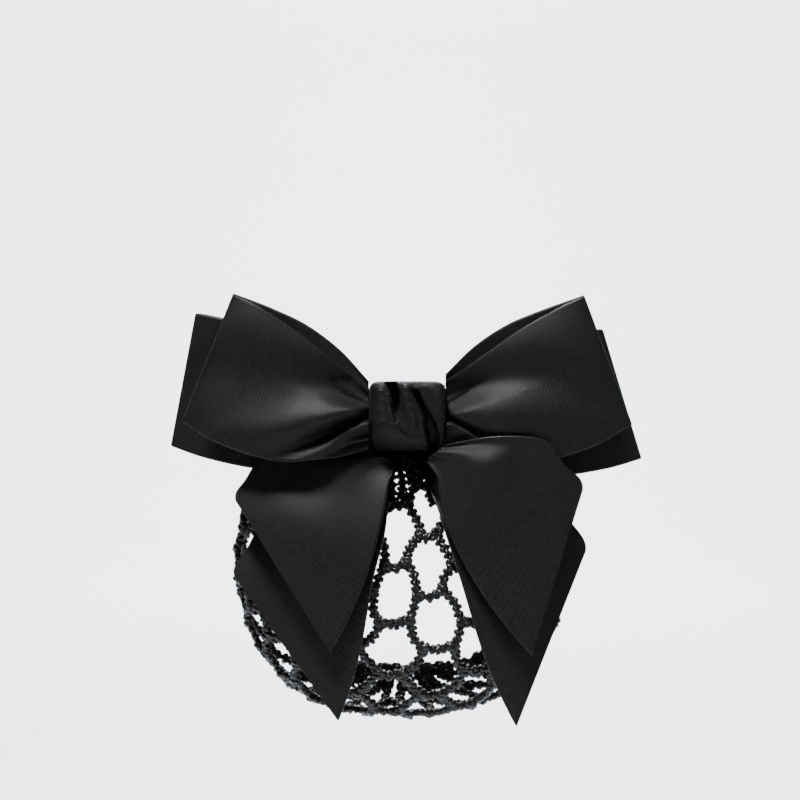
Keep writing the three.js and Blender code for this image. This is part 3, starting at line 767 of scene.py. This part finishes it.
# %% [markdown]
# The path of a strand swings from side to side once for each stitch, and doubles back on itself
# at each turn. That is what a crochet chain looks like from the front.

# %% Chain stitches and the ties between them
STITCH = 4.4  # mm of strand for each chain stitch
SWING = {"side": 1.2, "back": 0.7, "deep": 0.6}


def chain_path(places, seed, swing=1.0):
    """A cord's path in mm along grid places, swinging to and fro in chain stitches."""
    spots = [grid_point(*place) for place in places]
    length = sum((b - a).length for a, b in zip(spots, spots[1:]))
    stitches = max(round(length * 1.05 / STITCH), 1)
    made = []
    for n in range(stitches * 14 + 1):
        f = n / (stitches * 14)
        place = row_at(places, f)
        ahead, behind = row_at(places, min(f + 0.02, 1)), row_at(places, max(f - 0.02, 0))
        normal = grid_normal(*place)
        tangent = (grid_point(*ahead) - grid_point(*behind)).normalized()
        side = normal.cross(tangent)
        turn = 2 * math.pi * stitches * f + seed
        made.append(
            grid_point(*place)
            + side * swing * SWING["side"] * math.sin(turn)
            + tangent * swing * SWING["back"] * math.sin(2 * turn)
            + normal * swing * SWING["deep"] * math.cos(2 * turn + 0.6 + seed)
        )
    return made


def loop_stitch(i, j, size):
    """A tight stitch round a spot of the net, tilted a little differently each time."""
    normal = grid_normal(i, j)
    across = normal.cross(Vector((0, 0, 1))).normalized()
    down = normal.cross(across)
    tilt = 0.9 * math.sin(3.1 * i + 1.7 * j)
    made = []
    for n in range(17):
        q = 2 * math.pi * n / 14 + tilt
        flat = across * math.cos(q) * size + down * math.sin(q) * size * 0.62
        made.append(grid_point(i, j) + flat + normal * (0.5 + 0.5 * math.sin(2 * q + tilt) + n * 0.03))
    return made


# The net is split in three by depth, because one mesh would be too large.
net_parts = {"net_front": bmesh.new(), "net_sides": bmesh.new(), "net_back": bmesh.new()}
FRONT_ENDS, SIDES_END = -16, -1


def part_at(place):
    y = grid_point(*place).y
    return net_parts["net_front" if y < FRONT_ENDS else "net_sides" if y < SIDES_END else "net_back"]


for n, places in enumerate(walls):
    middle = row_at(places, 0.5)
    ribbed_cord(part_at(middle), chain_path(places, 1.3 * n), CORD_RADIUS)
    ribbed_cord(part_at(middle), chain_path(places, 1.3 * n + math.pi, 1.1), CORD_RADIUS * 0.9)
for n, places in enumerate(ties):
    middle = row_at(places, 0.5)
    ribbed_cord(part_at(middle), chain_path(places, 2.1 * n), CORD_RADIUS)
    ribbed_cord(part_at(middle), chain_path(places, 2.1 * n + math.pi, 1.25), CORD_RADIUS * 0.85)
    for end in (places[0], places[-1]):
        ribbed_cord(part_at(end), loop_stitch(*end, 1.7), CORD_RADIUS * 0.85)
# Under the knot the top of the net is drawn together, so spare cord lies there in bunches.
middle_column = NET_COLUMNS / 2
gathers = [
    [
        (middle_column + 0.3 * k, 0.25),
        (middle_column + 0.26 * k + 0.3 * math.sin(3 * k), 1.6),
        (middle_column + 0.36 * k, 2.9 + 0.4 * math.sin(5 * k)),
    ]
    for k in range(-6, 7)
]
for n, places in enumerate(gathers):
    ribbed_cord(net_parts["net_front"], chain_path(places, 2.3 * n), CORD_RADIUS * 0.9)
    ribbed_cord(net_parts["net_front"], chain_path(places, 2.3 * n + math.pi, 1.2), CORD_RADIUS * 0.85)
for n, places in enumerate(rims):
    ribbed_cord(part_at(places[1]), chain_path(places, 1.7 * n, 0.8), CORD_RADIUS * 1.1)
for name, mesh in net_parts.items():
    pieces[name] = finish_piece(name + "_crochet", mesh, gimp, ["net_bag"])

# %% [markdown]
# ## Woven edges of the ribbon
# The selvage of satin ribbon is a tight edge with tiny regular bumps, which catch the light as a
# dotted line. A thin ribbed cord along both edges of each strip shows it better than a bump map.

# %% Selvage along every strip
SELVAGE_RADIUS, SELVAGE_SPACING = 0.3, 0.45


def selvage(name, surface, steps=160):
    mesh = bmesh.new()
    for edge in (-1, 1):
        path = [surface(n / steps, edge) for n in range(steps + 1)]
        ribbed_cord(mesh, path, SELVAGE_RADIUS, SELVAGE_SPACING)
    return finish_piece(name + "_selvage", mesh, gimp, [name])


for name, loop in LOOPS.items():
    selvage(name, loop_surface(loop))
for name, tail in TAILS.items():
    selvage(name, tail_surface(tail))
# The knot shows one edge of its wrap, down its right side, just inside its outline.
knot_edge = bmesh.new()
edge_x, edge_y = KNOT["wide"] / 2 - 0.5, -KNOT_MIDDLE - KNOT["deep"] / 2 * 0.955
edge_path = [Vector((edge_x, edge_y, z)) for z in (12.5, 8, 4, -1.5)]
ribbed_cord(knot_edge, edge_path, SELVAGE_RADIUS, SELVAGE_SPACING)
finish_piece("knot_selvage", knot_edge, gimp, ["knot"])

# %% [markdown]
# ## The hair clip
# The clip hides behind the knot: a flat back plate and an arched front plate, closed at both
# ends. Its outline is drawn flat, pulled up to its height, and its edges are bevelled.

# %% The spring clip
clip_mesh = bmesh.new()
half, plate, deep = CLIP["long"] / 2, CLIP["plate"], CLIP["deep"]
clip_steps = 24


def arch(x, reach, top, low):
    """Depth of the arched plate at x, from low at its ends to top in the middle."""
    share = 1 - min(abs(x) / reach, 1)
    return mix(low, top, 2 * share - share * share)


stations = [half * (2 * k / clip_steps - 1) for k in range(clip_steps + 1)]
gap_half = half - plate * 6  # the plates are joined for six thicknesses at each end
inner = [gap_half * (2 * k / clip_steps - 1) for k in range(clip_steps + 1)]


def clip_row(points):
    return [clip_mesh.verts.new(Vector((x, y, 0)) * MM) for x, y in points]


front_outer = clip_row((x, -arch(x, half, deep, plate)) for x in stations)
front_inner = clip_row((x, -arch(x, gap_half, deep - plate, plate * 1.02)) for x in inner)
back_outer = clip_row((x * 0.985, 0) for x in stations)
back_inner = clip_row((x, -plate) for x in inner)
for k in range(clip_steps):
    clip_mesh.faces.new((front_outer[k], front_outer[k + 1], front_inner[k + 1], front_inner[k]))
    clip_mesh.faces.new((back_inner[k], back_inner[k + 1], back_outer[k + 1], back_outer[k]))
for end in (0, -1):
    clip_mesh.faces.new((front_outer[end], front_inner[end], back_inner[end], back_outer[end]))
bmesh.ops.translate(clip_mesh, verts=clip_mesh.verts, vec=(0, 0, -CLIP["high"] / 2 * MM))
pulled = bmesh.ops.extrude_face_region(clip_mesh, geom=clip_mesh.faces[:])
lifted = [item for item in pulled["geom"] if isinstance(item, bmesh.types.BMVert)]
bmesh.ops.translate(clip_mesh, verts=lifted, vec=(0, 0, CLIP["high"] * MM))
bmesh.ops.recalc_face_normals(clip_mesh, faces=clip_mesh.faces)
pieces["hair_clip"] = finish_piece("hair_clip_plates", clip_mesh, steel, ["hair_clip"])
soft_edge = pieces["hair_clip"].modifiers.new("rolled edges", "BEVEL")
soft_edge.width = 0.25 * MM
soft_edge.segments = 2
soft_edge.limit_method = "ANGLE"

# %% [markdown]
# ## Floor, backdrop and light
# Pale card runs along the floor and curves up behind, so no edge shows. The key lamp hangs high in
# front, a little to the left, so each fold of the satin is lit on top and dark underneath. A weak
# lamp fills the right side, another behind picks out the edges, and a fourth lights the backdrop.

# %% Card, lamps and surrounding light
card, card_tree, card_shader = new_material("matt white card")
card_shader.inputs["Base Color"].default_value = linear("#DADDE0")
card_shader.inputs["Roughness"].default_value = 0.9
add_grain(card_tree, card_shader, scale=400.0, detail=2.0, strength=0.05, distance=0.5 * MM)

# In metres: the floor's height, where the card starts to curve up, the curve's radius, and how
# long the card is, how far it reaches in front and how wide it is.
FLOOR, CURVE_START, CURVE = -0.2, 1.3, 0.5
CARD_LONG, CARD_AHEAD, CARD_WIDE = 7.0, 3.0, 8.0
sweep_mesh = bmesh.new()
bmesh.ops.create_grid(sweep_mesh, x_segments=4, y_segments=60, size=0.5)
for vert in sweep_mesh.verts:
    run = (vert.co.y + 0.5) * CARD_LONG - CARD_AHEAD
    x = vert.co.x * CARD_WIDE
    bend = min(max((run - CURVE_START) / CURVE, 0), math.pi / 2)
    up = max(run - CURVE_START - CURVE * math.pi / 2, 0)
    y = min(run, CURVE_START) + CURVE * math.sin(bend)
    vert.co = (x, y, FLOOR + CURVE * (1 - math.cos(bend)) + up)
sweep_data = bpy.data.meshes.new("card_sweep")
sweep_mesh.to_mesh(sweep_data)
sweep_mesh.free()
for polygon in sweep_data.polygons:
    polygon.use_smooth = True
sweep_data.materials.append(card)
sweep = bpy.data.objects.new("card_sweep", sweep_data)
bpy.context.scene.collection.objects.link(sweep)


def lamp(name, place, size, watts, colour, aim=LOOK_AT, spread=180):
    data = bpy.data.lights.new(name, "AREA")
    data.shape = "DISK"
    data.size = size
    data.energy = watts
    data.spread = math.radians(spread)
    data.color = linear(colour)[:3]
    item = bpy.data.objects.new(name, data)
    item.location = place
    item.rotation_euler = (Vector(aim) - Vector(place)).to_track_quat("-Z", "Y").to_euler()
    bpy.context.scene.collection.objects.link(item)


lamp("key", (-0.3, -0.55, 1.3), 0.35, 13, "#FFFFFF", spread=60)
lamp("fill", (0.9, -1.0, 0.3), 0.6, 3, "#F2F6FF")
lamp("rim", (0.1, 0.6, 0.9), 0.6, 3, "#FFFFFF")
lamp("backdrop", (0, 1.1, 1.2), 0.9, 110, "#F4F9FF", (0, 1.8, 0.1))
world = bpy.data.worlds.new("studio")
world.use_nodes = True
world.node_tree.nodes["Background"].inputs["Color"].default_value = linear("#E9EEF3")
world.node_tree.nodes["Background"].inputs["Strength"].default_value = 0.33
bpy.context.scene.world = world
